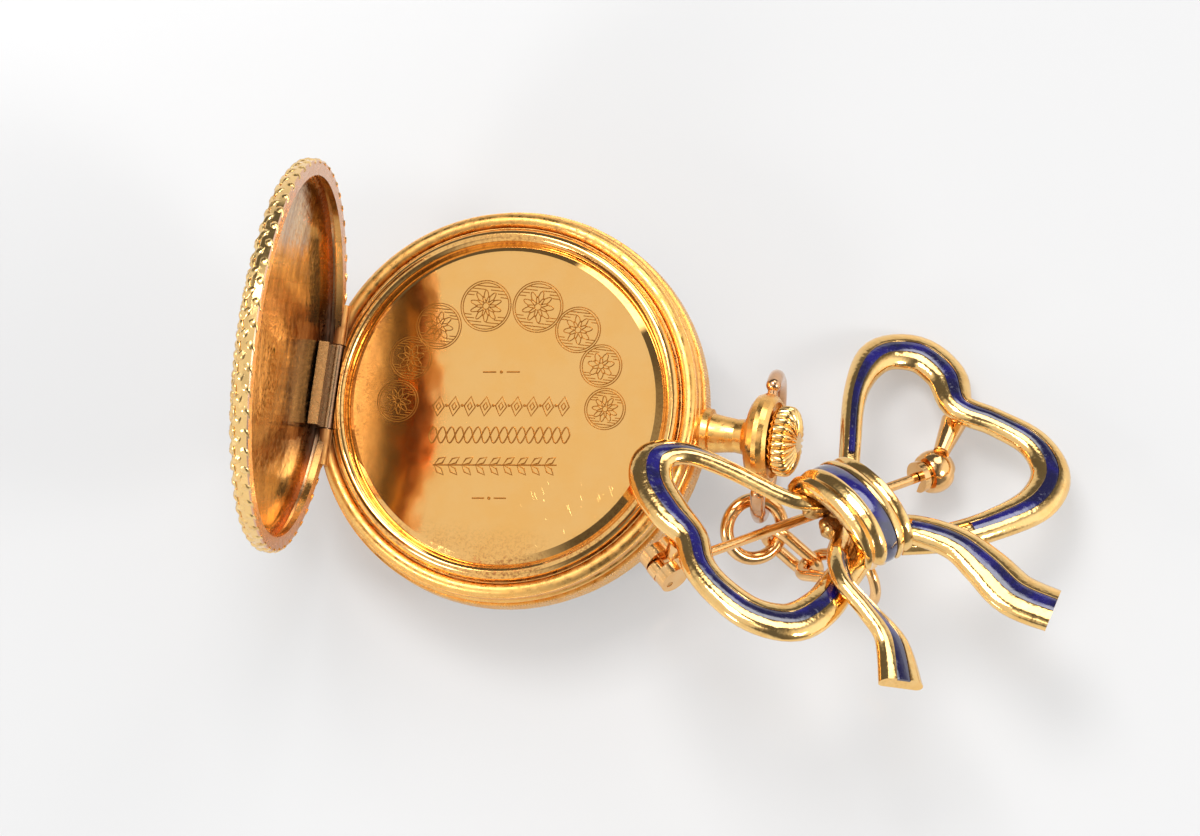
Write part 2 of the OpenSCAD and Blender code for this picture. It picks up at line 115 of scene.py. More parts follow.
# Enamel stripes: their ribbon, and how many of its rows are skipped at its start and its end
STRIPES = {
    "left_loop": (LEFT_LOOP, 1.2, 1.5), "right_loop": (RIGHT_LOOP, 0.84, 1.5),
    "left_tail": (LEFT_TAIL, 1.0, 0), "right_tail": (RIGHT_TAIL, 0.84, 0)}

# Lumps of solder in the knot: place and half sizes
SOLDER = [(-2.48, -1.9, -0.3, 1.5, 1, 0.8), (-2.84, -4.06, -0.62, 1, 1.2, 0.6),
          (-0.96, -3.26, -0.46, 1.6, 1.3, 0.8)]

# Section of the ribbon as shares of its width and thickness, with close points at its edges
RIBBON_SECTION = [
    (-0.495, -0.05), (-0.47, -0.2), (-0.4, -0.3), (0.4, -0.3), (0.47, -0.2), (0.495, -0.05),
    (0.5, 0.12), (0.47, 0.32), (0.4, 0.52), (0.31, 0.65), (CHANNEL + 0.035, 0.7),
    (CHANNEL + 0.01, 0.7), (CHANNEL, 0.66), (CHANNEL, 0.5), (-CHANNEL, 0.5), (-CHANNEL, 0.66),
    (-CHANNEL - 0.01, 0.7), (-CHANNEL - 0.035, 0.7), (-0.31, 0.65), (-0.4, 0.52),
    (-0.47, 0.32), (-0.5, 0.12)]
ENAMEL_SECTION = [
    (-CHANNEL + 0.006, 0.505), (CHANNEL - 0.006, 0.505), (CHANNEL - 0.006, 0.63),
    (CHANNEL * 0.5, 0.665), (0, 0.67), (-CHANNEL * 0.5, 0.665), (-CHANNEL + 0.006, 0.63)]

# Medallions on the dust cover: x, y, radius and the petals of the rosette
MEDALLIONS = [
    (-7.96, -0.64, 1.56, 9), (-7.46, 2.61, 1.6, 7), (-5.73, 5.17, 1.72, 8),
    (-2.45, 7.02, 1.91, 10), (1.42, 7.37, 1.91, 9), (4.65, 6.02, 1.72, 8),
    (6.75, 3.58, 1.6, 7), (7.52, 0.47, 1.56, 9)]

# Height of the engraved lines, and height and boldness of the lines in the rows
FINE_LINE_H = 0.02
ROW_LINE_H = 0.025
ROW_BOLDNESS = 1.6

# Engraved rows on the dust cover: their left and right ends, how far they rise and their count
LOZENGES = ((-5.45, -0.74), (5.0, 0.38), 0.72, 9)
WAVES = ((-5.3, -2.85), (5.2, -1.73), 0.6, 8)
LEAF_STEM = ((-4.65, -5.0), (4.55, -4.02), 0.66, 9)

# Left and right ends of the two short dashes with a dot between them
DASHES = [((-1.95, 2.17), (0.8, 2.48)), ((-1.39, -7.11), (1.14, -6.84))]

# Worn golds: colour, roughness, amount and colour of the dirt (on a case also the colour of the
# painted shade on its top arc), grain, waviness, whether a case
GOLDS = {
    "case_gold": ((0.92, 0.53, 0.16), 0.3, 0.45, (0.36, 0.14, 0.06), 1.5, 0.07, True),
    "hinge_gold": ((0.45, 0.25, 0.14), 0.3, 1.0, (0.12, 0.08, 0.05), 6.0, 0.6),
    "leaf_gold": ((0.96, 0.66, 0.28), 0.16, 0.7, (0.3, 0.12, 0.03), 12.0, 0.5),
    "engraved_gold": ((0.3, 0.115, 0.02), 0.4, 0.6, (0.2, 0.08, 0.02), 20.0, 0.5),
    "bail_gold": ((0.66, 0.38, 0.2), 0.14, 0.5, (0.3, 0.14, 0.08)),
    "chain_gold": ((0.9, 0.55, 0.24), 0.12, 0.4, (0.4, 0.2, 0.08)),
    "dull_gold": ((0.62, 0.36, 0.13), 0.3, 1.0, (0.16, 0.07, 0.02), 4.0, 1.0),
}

# Profile of the crown from its stem to its cap: radius and height
CROWN_STEM = [(0.5, 17.65), (0.5, 19.6)]
CROWN_BUTTON = [
    (1.9, 19.72), (2.3, 19.76), (2.5, 19.92), (2.58, 20.12), (2.6, 20.32), (2.6, 20.6),
    (2.56, 20.84), (2.44, 21.04), (2.24, 21.2), (1.98, 21.32), (1.68, 21.41), (1.35, 21.46),
    (1.0, 21.48)]
CROWN_CAP = [(0.7, 21.49), (0.3, 21.5)]
POINTS_A_LOBE = 8

# Section of the knot's band: along the barrel, and out from its oval
KNOT_SECTION = [
    (-2.3, -0.9), (-0.8, -0.95), (0.8, -0.95), (2.3, -0.9), (2.5, -0.3), (2.45, 0.15),
    (2.2, 0.38), (1.85, 0.36), (1.6, 0.18), (1.45, 0.3), (1.2, 0.5), (0.9, 0.55), (0.7, 0.5),
    (0.66, 0.48), (0.66, 0.28), (-0.46, 0.28), (-0.46, 0.48), (-0.5, 0.5), (-0.7, 0.55),
    (-1.0, 0.48), (-1.25, 0.25), (-1.4, 0.2), (-1.6, 0.3), (-1.95, 0.47), (-2.3, 0.33),
    (-2.5, 0.0), (-2.55, -0.4)]
KNOT_ENAMEL = [(-0.44, 0.3), (0.64, 0.3), (0.64, 0.42), (0.35, 0.47), (0.1, 0.48),
               (-0.15, 0.47), (-0.44, 0.42)]


def joint_named(name):
    """The record's joint of that name."""
    return next(j for j in frame["joints"] if j["name"] == name)


def frame_of(x_axis, y_axis, point, place):
    """Frame with those axes in which a known point has the given place, in millimetres."""
    x = Vector(x_axis).normalized()
    z = x.cross(Vector(y_axis)).normalized()
    y = z.cross(x)
    turn = Matrix((x, y, z)).transposed().to_4x4()
    origin = Vector(point) - turn @ (Vector(place) * MM)
    return Matrix.Translation(origin) @ turn


WATCH = frame_of(joint_named("crown_turn")["axis"], joint_named("cover_hinge")["axis"],
                 joint_named("cover_hinge")["pos_m"], (-HINGE_X, 0, HINGE_Z))
PIN_TURN = math.atan2(PIN_TO[1] - PIN_FROM[1], PIN_TO[0] - PIN_FROM[0])
PIN_FRAME = frame_of(joint_named("catch_turn")["axis"], joint_named("pin_swing")["axis"],
                     joint_named("pin_swing")["pos_m"], (0, 0, 0))
BOW = PIN_FRAME @ Matrix.Rotation(-PIN_TURN, 4, "Z") @ Matrix.Translation(
    -Vector(PIN_FROM) * MM)
OPEN = (WATCH @ Matrix.Translation(Vector((-HINGE_X, 0, HINGE_Z)) * MM)
        @ Matrix.Rotation(-COVER_OPEN, 4, "Y")
        @ Matrix.Translation(Vector((HINGE_X, 0, -HINGE_Z)) * MM))
TO_METRES = Matrix.Scale(MM, 4)
MERGE_DISTANCE = 0.0000008

# Soft lights: name, place and size in metres, and power in watts
LIGHTS = [
    ("key_light", (-0.12, 0.22, 0.5), 0.22, 1.6), ("side_light", (0.4, -0.08, 0.32), 0.14, 0.7),
    ("low_light", (-0.3, -0.28, 0.3), 0.1, 0.5)]

# Bright panels of the studio: direction, cosines of its soft edge and its full part, strength
PANELS = [
    (WATCH.to_3x3() @ Vector((-0.249, 0.134, 0.959)), 0.72, 0.92, 0.85),
    (WATCH.to_3x3() @ Vector((0.25, 0.13, 0.96)), 0.99, 0.997, 2.4),
    (Vector((0.2, 0.8, 0.57)), 0.945, 0.97, 3.2)]

# Strength of the dim room, and height of the floor in metres
ROOM_LEVEL = 0.13
FLOOR_Z = -0.000085

# Camera: its right side and the way towards it from the watch, its aim in millimetres along
# its own right and up, its distance in metres and its lens
CAMERA_RIGHT = Vector((0.964, 0.1445, -0.229))
CAMERA_TOWARD = Vector((0.249, -0.134, 0.959))
CAMERA_AIM = (6.257, -0.509)
CAMERA_AWAY = 2.6
CAMERA_LENS = 1072.3


# Hand tools
def clear_selection():
    """Leaves edit mode and deselects everything."""
    if bpy.context.object and bpy.context.object.mode != "OBJECT":
        bpy.ops.object.mode_set(mode="OBJECT")
    bpy.ops.object.select_all(action="DESELECT")


def name_new(name):
    """Names the object that an operator has just added."""
    piece = bpy.context.object
    piece.name = name
    piece.data.name = name
    return piece


def settle(piece, place, angle=40):
    """Puts a piece modelled in millimetres in its place, and leaves its object at the origin."""
    clear_selection()
    piece.select_set(True)
    bpy.context.view_layer.objects.active = piece
    piece.matrix_world = place @ TO_METRES @ piece.matrix_world
    bpy.context.view_layer.update()
    bpy.ops.object.transform_apply(location=True, rotation=True, scale=True)
    bpy.ops.object.mode_set(mode="EDIT")
    bpy.ops.mesh.select_all(action="SELECT")
    bpy.ops.mesh.remove_doubles(threshold=MERGE_DISTANCE)
    bpy.ops.mesh.normals_make_consistent(inside=False)
    bpy.ops.object.mode_set(mode="OBJECT")
    bpy.ops.object.shade_smooth_by_angle(angle=math.radians(angle))


def dress(piece, finish, body="watch"):
    """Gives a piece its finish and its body."""
    piece.data.materials.clear()
    piece.data.materials.append(finish_named(finish))
    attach(piece, body)


def move_ring(piece, before, after):
    """Moves the selected ring's points from their last places to their next ones."""
    mesh = bmesh.from_edit_mesh(piece.data)
    for vert in [v for v in mesh.verts if v.select]:
        nearest = min(range(len(before)), key=lambda i: (before[i] - vert.co).length_squared)
        vert.co = after[nearest]
    bmesh.update_edit_mesh(piece.data)


def select_rings(piece, numbers, size):
    """Selects whole rings by their number along a drawn-out piece."""
    bpy.ops.mesh.select_all(action="DESELECT")
    mesh = bmesh.from_edit_mesh(piece.data)
    mesh.verts.ensure_lookup_table()
    for number in numbers:
        for i in range(size):
            mesh.verts[number * size + i].select = True
    mesh.select_flush(True)
    bmesh.update_edit_mesh(piece.data)


def drawn_out(name, rings, closed=False):
    """Solid drawn out ring by ring: a circle is added, then extruded to every next ring."""
    clear_selection()
    bpy.ops.mesh.primitive_circle_add(vertices=len(rings[0]), radius=1)
    piece = name_new(name)
    bpy.ops.object.mode_set(mode="EDIT")
    bpy.ops.mesh.select_all(action="SELECT")
    mesh = bmesh.from_edit_mesh(piece.data)
    mesh.verts.ensure_lookup_table()
    for vert, place in zip(mesh.verts, rings[0]):
        vert.co = place
    bmesh.update_edit_mesh(piece.data)
    size = len(rings[0])
    for before, after in zip(rings, rings[1:]):
        bpy.ops.mesh.extrude_edges_move()
        move_ring(piece, before, after)
    if closed:
        select_rings(piece, (0, len(rings) - 1), size)
        bpy.ops.mesh.bridge_edge_loops()
    else:
        for number in (len(rings) - 1, 0):
            select_rings(piece, (number,), size)
            bpy.ops.mesh.edge_face_add()
    bpy.ops.object.mode_set(mode="OBJECT")
    return piece


def lathe_rings(profile, points, lobes=0, depth=0.0, drop=0.0):
    """Rings round Z of a turned shape, with grooves between lobes that go in and down."""
    rings = []
    for radius, height in profile:
        ring = []
        for i in range(points):
            turn = 2 * math.pi * i / points
            dip = 1 - abs(math.cos(lobes * turn / 2)) if lobes else 0
            reach = radius * (1 - depth * dip)
            ring.append(Vector((reach * math.cos(turn), reach * math.sin(turn),
                                height - drop * dip)))
        rings.append(ring)
    return rings


def copies_joined(name, model, places):
    """Copies a modelled shape to each place, each with its own mesh, and joins them."""
    clear_selection()
    made = []
    for place in places:
        twin = model.copy()
        twin.data = model.data.copy()
        bpy.context.scene.collection.objects.link(twin)
        twin.matrix_world = place @ model.matrix_world
        made.append(twin)
    bpy.data.objects.remove(model)
    for twin in made:
        twin.select_set(True)
    bpy.context.view_layer.objects.active = made[0]
    bpy.ops.object.join()
    piece = name_new(name)
    bpy.ops.object.transform_apply(location=True, rotation=True, scale=True)
    return piece


def engraved(name, strokes, width, height):
    """Fine raised line work: each stroke is a list of points, closed if its ends meet."""
    clear_selection()
    bpy.ops.curve.primitive_nurbs_path_add()
    piece = name_new(name)
    line = piece.data
    line.splines.clear()
    line.dimensions = "3D"
    line.bevel_depth = width / 2
    line.bevel_resolution = 1
    line.use_fill_caps = True
    for stroke in strokes:
        ends_meet = (Vector(stroke[0]) - Vector(stroke[-1])).length < 1e-6
        points = stroke[:-1] if ends_meet else stroke
        spline = line.splines.new("POLY")
        spline.points.add(len(points) - 1)
        for point, place in zip(spline.points, points):
            point.co = (place[0], place[1], 0, 1)
        spline.use_cyclic_u = ends_meet
    bpy.ops.object.convert(target="MESH")
    piece = bpy.context.object
    piece.scale = (1, 1, height / width)
    bpy.ops.object.transform_apply(location=False, rotation=False, scale=True)
    return piece


# Finishes
def add_node(tree, kind, links=None, **settings):
    """Adds a shader node, sets it, and links or fills its sockets."""
    made = tree.nodes.new("ShaderNode" + kind)
    for key, value in settings.items():
        setattr(made, key, value)
    for socket, source in (links or {}).items():
        target = made.inputs[socket]
        if isinstance(source, bpy.types.NodeSocket):
            tree.links.new(source, target)
        else:
            target.default_value = source
    return made


def new_finish(name):
    """New material with its node tree and its shader."""
    material = bpy.data.materials.new(name)
    material.use_nodes = True
    tree = material.node_tree
    return material, tree, tree.nodes["Principled BSDF"]


def coordinates(tree, place=None, stretch=(1, 1, 1)):
    """Millimetre coordinates in a frame of the object, for procedural patterns."""
    into = (place or Matrix.Identity(4)).inverted()
    source = add_node(tree, "TexCoord").outputs["Object"]
    turned = add_node(tree, "Mapping", {
        "Vector": source, "Scale": (1000, 1000, 1000),
        "Rotation": into.to_euler("XYZ"), "Location": into.translation * 1000})
    if stretch == (1, 1, 1):
        return turned.outputs[0]
    return add_node(tree, "Mapping", {"Vector": turned.outputs[0],
                                      "Scale": stretch}).outputs[0]


def noise(tree, vector, scale, detail=4.0, rough=0.55):
    """Noise value over millimetre coordinates."""
    return add_node(tree, "TexNoise", {"Vector": vector, "Scale": scale, "Detail": detail,
                                       "Roughness": rough}).outputs["Fac"]


def graded(tree, value, low, high, to_low=0.0, to_high=1.0):
    """Maps a value between two limits to a new range, clamped and smooth."""
    return add_node(tree, "MapRange", {"Value": value, "From Min": low, "From Max": high,
                                       "To Min": to_low, "To Max": to_high},
                    interpolation_type="SMOOTHSTEP").outputs[0]


def sums(tree, operation, first, second=0.0, clamp=False):
    """One arithmetic step."""
    return add_node(tree, "Math", {0: first, 1: second}, operation=operation,
                    use_clamp=clamp).outputs[0]


def plus(tree, first, second):
    """Sum of two values."""
    return sums(tree, "ADD", first, second)


def times(tree, first, second, clamp=False):
    """Product of two values."""
    return sums(tree, "MULTIPLY", first, second, clamp)


def reach_of(tree, across, up):
    """Distance from the middle."""
    return sums(tree, "SQRT", plus(tree, times(tree, across, across), times(tree, up, up)))


def near_hinge(tree, parts, start, full, wide, narrow):
    """How near a place is to the hinge: from its x, and from how far it is to either side."""
    side = sums(tree, "ABSOLUTE", parts.outputs[1])
    return times(tree, graded(tree, parts.outputs[0], start, full),
                 graded(tree, side, wide, narrow))


def blended(tree, share, first, second):
    """Colour between two colours."""
    made = add_node(tree, "Mix", {0: share, 6: first, 7: second}, data_type="RGBA")
    return made.outputs[2]


def relief(tree, shader, height, strength, distance):
    """Bump from a height."""
    bump = add_node(tree, "Bump", {"Height": height, "Strength": strength,
                                   "Distance": distance})
    tree.links.new(bump.outputs[0], shader.inputs["Normal"])


def rgba(colour):
    """Colour with full alpha."""
    return (*colour, 1.0)


def gold_finish(name, colour, rough, dirt, dirt_and_shade_colour, grain=9.0, waviness=0.3,
                is_case=False):
    """Worn gold: uneven gloss, dirt in patches and soft ripples; a case is darker at its hinge and
    has painted shade on its top arc.
    """
    material, tree, shader = new_finish(name)
    spot = coordinates(tree, WATCH if is_case else None)
    cloud = noise(tree, spot, 0.45, 6.0, 0.6)
    speck = noise(tree, spot, 3.5, 5.0, 0.65)
    both = times(tree, graded(tree, cloud, 0.45, 0.72), graded(tree, speck, 0.4, 0.7))
    share = times(tree, both, dirt)
    if is_case:
        parts = add_node(tree, "SeparateXYZ", {0: spot})
        at_hinge = times(tree, near_hinge(tree, parts, -11.0, -13.6, 9.0, 3.5), 0.85)
        # Painted shade: a case is darkened towards its top arc, broken up by the speckle, in the
        # dirt's colour.
        painted_top_shade = times(tree, graded(tree, parts.outputs[1], 5.0, 13.5, 0.0, 0.65),
                       graded(tree, speck, 0.48, 0.72))
        share = sums(tree, "MAXIMUM", share, sums(tree, "MAXIMUM", at_hinge, painted_top_shade))
    warm = blended(tree, graded(tree, noise(tree, spot, 0.9, 3.0), 0.35, 0.65), rgba(colour),
                   (colour[0], colour[1] * 0.93, colour[2] * 0.82, 1.0))
    tree.links.new(blended(tree, share, warm, rgba(dirt_and_shade_colour)), shader.inputs["Base Color"])
    gloss = graded(tree, noise(tree, spot, grain, 5.0), 0.3, 0.75, rough * 0.6, rough * 1.7)
    tree.links.new(plus(tree, gloss, times(tree, share, 0.4)), shader.inputs["Roughness"])
    ripple = plus(tree, noise(tree, spot, 1.3, 2.0),
                  times(tree, noise(tree, spot, 14.0, 3.0), 0.06))
    relief(tree, shader, ripple, waviness, 0.00006)
    shader.inputs["Metallic"].default_value = 1.0
    return material


def enamel_finish(name, colour, place=None, rays=0):
    """Glossy blue enamel with faint clouds, tiny pits and a wavy surface."""
    material, tree, shader = new_finish(name)
    spot = coordinates(tree, place)
    cloud = graded(tree, noise(tree, spot, 0.35, 5.0, 0.6), 0.4, 0.62)
    deep = (colour[0] * 0.35, colour[1] * 0.35, colour[2] * 0.28, 1.0)
    mixed = blended(tree, cloud, deep, rgba(colour))
    pit = graded(tree, noise(tree, spot, 12.0, 2.0), 0.7, 0.76)
    pale = (colour[0] + 0.05, colour[1] + 0.055, colour[2] + 0.14, 1.0)
    height = sums(tree, "SUBTRACT", times(tree, noise(tree, spot, 1.1, 2.0), 0.8),
                  times(tree, pit, 0.25))
    if rays:
        parts = add_node(tree, "SeparateXYZ", {0: spot})
        turn = sums(tree, "ARCTAN2", parts.outputs[1], parts.outputs[0])
        wave = sums(tree, "SINE", times(tree, turn, rays))
        mixed = blended(tree, graded(tree, wave, -1.0, 1.0, 0.0, 0.35), mixed, pale)
        height = plus(tree, height, times(tree, wave, 0.05))
    tree.links.new(blended(tree, times(tree, pit, 0.3), mixed, pale),
                   shader.inputs["Base Color"])
    tree.links.new(graded(tree, noise(tree, spot, 6.0), 0.3, 0.8, 0.06, 0.24),
                   shader.inputs["Roughness"])
    relief(tree, shader, height, 0.7, 0.00014)
    shader.inputs["Coat Weight"].default_value = 1.0
    shader.inputs["Coat Roughness"].default_value = 0.03
    shader.inputs["Coat IOR"].default_value = 1.8
    return material


def dust_cover_finish(name, colour):
    """Polished inner cover: fine brushing, scratches low on the right, tarnish at its rim."""
    material, tree, shader = new_finish(name)
    spot = coordinates(tree, WATCH)
    parts = add_node(tree, "SeparateXYZ", {0: spot})
    across, up = parts.outputs[0], parts.outputs[1]
    reach = reach_of(tree, across, up)
    cloud = noise(tree, spot, 0.3, 6.0, 0.62)
    speck = noise(tree, spot, 4.0, 6.0, 0.7)
    rim = times(tree, graded(tree, reach, 10.9, 11.9), graded(tree, reach, 13.2, 12.6))
    hinge_side = graded(tree, across, -8.0, -11.5)
    low_side = graded(tree, up, -8.5, -11.0)
    dirty = plus(tree, times(tree, rim, 0.55),
                 times(tree, sums(tree, "MAXIMUM", hinge_side, low_side), 0.45))
    grainy = times(tree, graded(tree, speck, 0.42, 0.66), graded(tree, cloud, 0.3, 0.6))
    tarnish = times(tree, dirty, grainy, clamp=True)
    warm = blended(tree, graded(tree, cloud, 0.35, 0.68), rgba(colour),
                   (colour[0], colour[1] * 0.95, colour[2] * 0.84, 1.0))
    tree.links.new(blended(tree, tarnish, warm, (0.36, 0.12, 0.035, 1.0)),
                   shader.inputs["Base Color"])
    brushing = noise(tree, coordinates(tree, WATCH @ Matrix.Rotation(0.5, 4, "Z"),
                                       (0.8, 26, 1)), 1.0, 4.0)
    scratch_lines = noise(tree, coordinates(tree, WATCH @ Matrix.Rotation(2.05, 4, "Z"),
                                            (0.5, 14, 1)), 1.0, 2.0)
    low_right = times(tree, graded(tree, across, 0.5, 5.5), graded(tree, up, -4.0, -7.0))
    scratch = times(tree, graded(tree, scratch_lines, 0.7, 0.73),
                    times(tree, low_right, graded(tree, reach, 11.2, 10.5)))
    satin = graded(tree, reach, 11.35, 11.15)
    gloss = plus(tree, times(tree, satin, graded(tree, brushing, 0.3, 0.75, 0.02, 0.08)), 0.03)
    gloss = plus(tree, gloss, times(tree, tarnish, 0.3))
    gloss = plus(tree, gloss, times(tree, scratch, 0.25))
    tree.links.new(gloss, shader.inputs["Roughness"])
    height = plus(tree, noise(tree, spot, 0.22, 2.0),
                  times(tree, times(tree, brushing, satin), 0.012))
    height = sums(tree, "SUBTRACT", height, times(tree, scratch, 0.05))
    relief(tree, shader, height, 0.35, 0.00012)
    shader.inputs["Metallic"].default_value = 1.0
    return material


def back_cover_finish(name, colour, pink):
    """Open cover: brownish gold inside with soft lighter streaks, a painted reflection of the dark
    case and of soft light, with specks of tarnish; pinkish worn flange; yellow gold outside.
    """
    material, tree, shader = new_finish(name)
    spot = coordinates(tree, OPEN)
    parts = add_node(tree, "SeparateXYZ", {0: spot})
    reach = reach_of(tree, parts.outputs[0], parts.outputs[1])
    facing = add_node(tree, "VectorMath", {0: add_node(tree, "TexCoord").outputs["Normal"],
                                           1: OPEN.to_3x3() @ Vector((0, 0, 1))},
                      operation="DOT_PRODUCT").outputs["Value"]
    outside = graded(tree, facing, -0.6, -0.2)
    flange = times(tree, graded(tree, reach, 12.7, 13.2), graded(tree, outside, 0.9, 0.1))
    # Painted reflection: the inside's darker brownish colour and its soft lighter streaks stand in
    # for reflections of the dark case and of soft light; the dark specks mixed in below are
    # tarnish.
    cloud = noise(tree, coordinates(tree, OPEN, (1.6, 0.3, 1.6)), 0.6, 6.0, 0.65)
    speck = noise(tree, spot, 5.0, 5.0, 0.7)
    painted_reflection_streaks = blended(tree, graded(tree, cloud, 0.28, 0.72), (0.4, 0.21, 0.075, 1.0),
                    (0.8, 0.52, 0.23, 1.0))
    inner = blended(tree, times(tree, graded(tree, speck, 0.52, 0.68), 0.5), painted_reflection_streaks,
                    (0.25, 0.1, 0.03, 1.0))
    body = blended(tree, outside, inner, rgba(colour))
    hinge_near = near_hinge(tree, parts, -10.5, -11.8, 7.0, 4.0)
    green = times(tree, hinge_near, graded(tree, speck, 0.56, 0.66))
    edged = blended(tree, times(tree, hinge_near, 0.85),
                    blended(tree, flange, body, rgba(pink)), (0.24, 0.13, 0.075, 1.0))
    tree.links.new(blended(tree, times(tree, green, 0.6), edged, (0.13, 0.2, 0.12, 1.0)),
                   shader.inputs["Base Color"])
    gloss = graded(tree, noise(tree, spot, 3.0, 6.0), 0.3, 0.75, 0.06, 0.22)
    gloss = plus(tree, gloss, times(tree, flange, 0.16))
    gloss = plus(tree, gloss, times(tree, hinge_near, 0.16))
    tree.links.new(gloss, shader.inputs["Roughness"])
    height = plus(tree, noise(tree, spot, 0.6, 3.0), times(tree, speck, 0.08))
    relief(tree, shader, height, 0.35, 0.00004)
    shader.inputs["Metallic"].default_value = 1.0
    return material


def plain_finish(name, colour, metallic, rough, scale):
    """Plain finish with a faint mottling, for what the photograph doesn't show."""
    material, tree, shader = new_finish(name)
    spot = coordinates(tree)
    cloud = graded(tree, noise(tree, spot, scale), 0.3, 0.7)
    dim = (colour[0] * 0.88, colour[1] * 0.88, colour[2] * 0.88, 1.0)
    tree.links.new(blended(tree, cloud, dim, rgba(colour)), shader.inputs["Base Color"])
    tree.links.new(graded(tree, cloud, 0, 1, rough * 0.8, rough * 1.2),
                   shader.inputs["Roughness"])
    relief(tree, shader, cloud, 0.15, 0.00003)
    shader.inputs["Metallic"].default_value = metallic
    return material


def crystal_finish(name):
    """Clear glass with faint smears."""
    material, tree, shader = new_finish(name)
    smear = graded(tree, noise(tree, coordinates(tree), 0.8, 5.0), 0.4, 0.7, 0.0, 0.05)
    tree.links.new(smear, shader.inputs["Roughness"])
    shader.inputs["Base Color"].default_value = (0.96, 0.98, 0.99, 1.0)
    shader.inputs["Transmission Weight"].default_value = 1.0
    shader.inputs["IOR"].default_value = 1.5
    return material


def finish_named(name):
    """A finish from the palette, made when it is first asked for."""
    if name in bpy.data.materials:
        return bpy.data.materials[name]
    if name in GOLDS:
        return gold_finish(name, *GOLDS[name])
    values = bpy.context.scene.watch_finish
    yellow, pink, blue = values.gold, values.pink_gold, values.enamel
    makers = {
        "bow_gold": lambda n: gold_finish(
            n, yellow, 0.1, 0.3, (0.4, 0.2, 0.08), grain=8.0, waviness=0.55),
        "dust_cover_gold": lambda n: dust_cover_finish(n, values.inner_gold),
        "back_cover_gold": lambda n: back_cover_finish(n, yellow, pink),
        "bow_enamel": lambda n: enamel_finish(n, blue),
        "panel_enamel": lambda n: enamel_finish(n, blue, OPEN, 48),
        "dial_white": lambda n: plain_finish(n, (0.85, 0.83, 0.76), 0.0, 0.2, 2.0),
        "blued_steel": lambda n: plain_finish(n, (0.03, 0.04, 0.16), 1.0, 0.2, 6.0),
        "movement_metal": lambda n: plain_finish(n, (0.6, 0.52, 0.36), 1.0, 0.35, 3.0),
        "clear_crystal": crystal_finish,
    }
    return makers[name](name)


def finish_nodes(finish, *nodes):
    """Gives nodes of the frame a finish from the palette."""
    for node in nodes:
        for slot in NODES[node].material_slots:
            slot.material = finish_named(finish)


# Shapes
def dome_at(reach):
    """Height and fall of the closed cover's dome at a distance from its middle."""
    def height(r):
        turn = math.acos(min(1.0, (max(r, 0.001) / COVER_R) ** (1 / COVER_CURVE)))
        return RIM_Z + COVER_WALL + COVER_RISE * math.sin(turn) ** COVER_CURVE
    slope = (height(reach + 0.05) - height(reach - 0.05)) / 0.1
    return height(reach), math.atan(-slope)


def smooth_rows(rows, steps):
    """Points of a curve through the rows of a table."""
    path = []
    for i in range(len(rows) - 1):
        a, b, c, d = (rows[max(i - 1, 0)], rows[i], rows[i + 1],
                      rows[min(i + 2, len(rows) - 1)])
        for k in range(steps):
            t = k / steps
            path.append([0.5 * (2 * q + (r - p) * t + (2 * p - 5 * q + 4 * r - s) * t * t
                                + (3 * q - p - 3 * r + s) * t ** 3)
                         for p, q, r, s in zip(a, b, c, d)])
    path.append(list(rows[-1]))
    return path


def ribbon_rings(rows, section, steps, skip_start=0.0, skip_end=0.0):
    """Rings of a ribbon of changing width that follows the rows of a table."""
    path = smooth_rows(rows, steps)
    last = len(path) - 1
    rings = []
    for i in range(round(skip_start * steps), last + 1 - round(skip_end * steps)):
        here = Vector(path[i][:3])
        way = (Vector(path[min(i + 1, last)][:3]) - Vector(path[max(i - 1, 0)][:3])).normalized()
        side = way.cross(Vector((0, 0, 1))).normalized()
        up = side.cross(way)
        lean = math.radians(path[i][4])
        across = side * math.cos(lean) + up * math.sin(lean)
        out = up * math.cos(lean) - side * math.sin(lean)
        rings.append([here + across * u * path[i][3] + out * v * RIBBON_T for u, v in section])
    return rings


def knot_width(turn):
    """Share of its width that the knot's band keeps at an angle: it is narrow behind."""
    t = min(1.0, max(0.0, -1.5 * math.sin(turn) - 0.1))
    return 1 - 0.52 * t * t * (3 - 2 * t)


def knot_rings(section, start, end, rounds):
    """Rings of a band round the knot's oval, with one side kept in line where it narrows."""
    count = rounds if end - start >= 360 else rounds + 1
    rings = []
    for i in range(count):
        turn = math.radians(end - (end - start) * i / rounds)
        share = knot_width(turn)
        rings.append([Vector(KNOT_AT) + Vector((KNOT_SIDE - (KNOT_SIDE - u) * share,
                                                (KNOT_HALF[0] + v) * math.cos(turn),
                                                (KNOT_HALF[1] + v) * math.sin(turn)))
                      for u, v in section])
    return rings


def leaf_model(length):
    """One chased leaf: pointed at both ends, with a crease along its top."""
    clear_selection()
    bpy.ops.mesh.primitive_uv_sphere_add(segments=12, ring_count=8, radius=1)
    leaf = name_new("leaf")
    for vert in leaf.data.vertices:
        taper = max(0.0, 1 - abs(vert.co.x) ** 1.6)
        vert.co.y *= 0.35 + 0.65 * taper
        vert.co.z = vert.co.z * taper - 0.25 * (1 - abs(vert.co.y)) * (vert.co.z > 0.5)
    leaf.scale = (length / 2, *LEAF_HALF)
    bpy.ops.object.transform_apply(location=False, rotation=False, scale=True)
    return leaf


